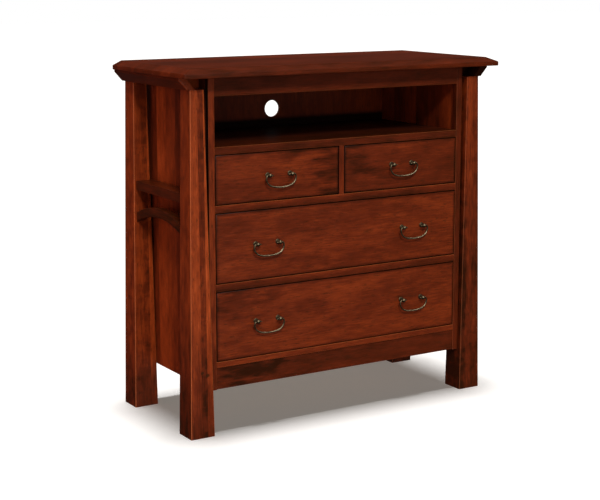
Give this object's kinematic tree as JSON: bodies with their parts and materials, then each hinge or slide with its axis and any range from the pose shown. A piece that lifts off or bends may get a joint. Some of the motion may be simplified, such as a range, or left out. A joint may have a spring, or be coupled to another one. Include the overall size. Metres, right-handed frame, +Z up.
{
  "type": "media chest",
  "caption": "Wooden media chest with an open compartment over sliding drawers, tapered legs with arched side stretchers, and swinging bail pulls.",
  "frame": {"origin": "on the floor, under the middle of the chest's bounding box", "axes": "+X to the right along the front, +Y from the front to the back, +Z up"},
  "size_m": [1.112, 0.491, 1.08],
  "materials": {
    "cherry_top": "cherry, red-brown stain, satin lacquer",
    "cherry_legs": "cherry, red-brown stain, satin lacquer",
    "cherry_panels": "cherry, red-brown stain, satin lacquer",
    "cherry_frame": "cherry, red-brown stain, satin lacquer",
    "cherry_fronts": "cherry, red-brown stain, satin lacquer",
    "runner_wood": "plain hardwood, sanded, unstained",
    "drawer_box_wood": "pale hardwood, clear sealed",
    "drawer_plywood": "veneered plywood, clear sealed",
    "back_plywood": "veneered plywood, red-brown stain",
    "antique_brass": "darkened antique, worn bright on the edges"
  },
  "bodies": {
    "carcass": {"top_board": "cherry_top", "left_cap": "cherry_legs", "right_cap": "cherry_legs", "front_left_leg": "cherry_legs", "front_right_leg": "cherry_legs", "rear_left_leg": "cherry_legs", "rear_right_leg": "cherry_legs", "left_side_panel": "cherry_panels", "right_side_panel": "cherry_panels", "left_crosspiece": "cherry_legs", "right_crosspiece": "cherry_legs", "left_arch": "cherry_legs", "right_arch": "cherry_legs", "left_stile": "cherry_frame", "right_stile": "cherry_frame", "top_rail": "cherry_frame", "shelf_rail": "cherry_frame", "upper_drawer_rail": "cherry_frame", "lower_drawer_rail": "cherry_frame", "bottom_rail": "cherry_frame", "apron": "cherry_frame", "divider_post": "cherry_frame", "media_shelf": "cherry_panels", "partition": "runner_wood", "back_panel": "back_plywood", "rear_rails": "runner_wood", "drawer_runners": "runner_wood", "drawer_stops": "runner_wood", "top_cleats": "runner_wood"},
    "left_small_drawer": {"left_small_drawer_front": "cherry_fronts", "left_small_drawer_sides": "drawer_box_wood", "left_small_drawer_back": "drawer_box_wood", "left_small_drawer_bottom": "drawer_plywood", "left_small_pull_posts": "antique_brass"},
    "left_small_bail": {"left_small_bail": "antique_brass"},
    "right_small_drawer": {"right_small_drawer_front": "cherry_fronts", "right_small_drawer_sides": "drawer_box_wood", "right_small_drawer_back": "drawer_box_wood", "right_small_drawer_bottom": "drawer_plywood", "right_small_pull_posts": "antique_brass"},
    "right_small_bail": {"right_small_bail": "antique_brass"},
    "middle_drawer": {"middle_drawer_front": "cherry_fronts", "middle_drawer_sides": "drawer_box_wood", "middle_drawer_back": "drawer_box_wood", "middle_drawer_bottom": "drawer_plywood", "middle_pull_posts": "antique_brass"},
    "middle_left_bail": {"middle_left_bail": "antique_brass"},
    "middle_right_bail": {"middle_right_bail": "antique_brass"},
    "lower_drawer": {"lower_drawer_front": "cherry_fronts", "lower_drawer_sides": "drawer_box_wood", "lower_drawer_back": "drawer_box_wood", "lower_drawer_bottom": "drawer_plywood", "lower_pull_posts": "antique_brass"},
    "lower_left_bail": {"lower_left_bail": "antique_brass"},
    "lower_right_bail": {"lower_right_bail": "antique_brass"}
  },
  "joints": [
    {"name": "left_small_drawer_slide", "type": "slide", "parent": "carcass", "child": "left_small_drawer", "axis": [0, -1, 0], "range_m": [0, 0.28]},
    {"name": "left_small_bail_hinge", "type": "hinge", "parent": "left_small_drawer", "child": "left_small_bail", "pos_m": [-0.222, -0.206, 0.75842], "axis": [-1, 0, 0], "range_deg": [-18, 150]},
    {"name": "right_small_drawer_slide", "type": "slide", "parent": "carcass", "child": "right_small_drawer", "axis": [0, -1, 0], "range_m": [0, 0.28]},
    {"name": "right_small_bail_hinge", "type": "hinge", "parent": "right_small_drawer", "child": "right_small_bail", "pos_m": [0.222, -0.206, 0.75842], "axis": [-1, 0, 0], "range_deg": [-18, 150]},
    {"name": "middle_drawer_slide", "type": "slide", "parent": "carcass", "child": "middle_drawer", "axis": [0, -1, 0], "range_m": [0, 0.28]},
    {"name": "middle_left_bail_hinge", "type": "hinge", "parent": "middle_drawer", "child": "middle_left_bail", "pos_m": [-0.26404, -0.206, 0.55732], "axis": [-1, 0, 0], "range_deg": [-18, 150]},
    {"name": "middle_right_bail_hinge", "type": "hinge", "parent": "middle_drawer", "child": "middle_right_bail", "pos_m": [0.26404, -0.206, 0.55732], "axis": [-1, 0, 0], "range_deg": [-18, 150]},
    {"name": "lower_drawer_slide", "type": "slide", "parent": "carcass", "child": "lower_drawer", "axis": [0, -1, 0], "range_m": [0, 0.28]},
    {"name": "lower_left_bail_hinge", "type": "hinge", "parent": "lower_drawer", "child": "lower_left_bail", "pos_m": [-0.26404, -0.206, 0.3251], "axis": [-1, 0, 0], "range_deg": [-18, 150]},
    {"name": "lower_right_bail_hinge", "type": "hinge", "parent": "lower_drawer", "child": "lower_right_bail", "pos_m": [0.26404, -0.206, 0.3251], "axis": [-1, 0, 0], "range_deg": [-18, 150]}
  ]
}
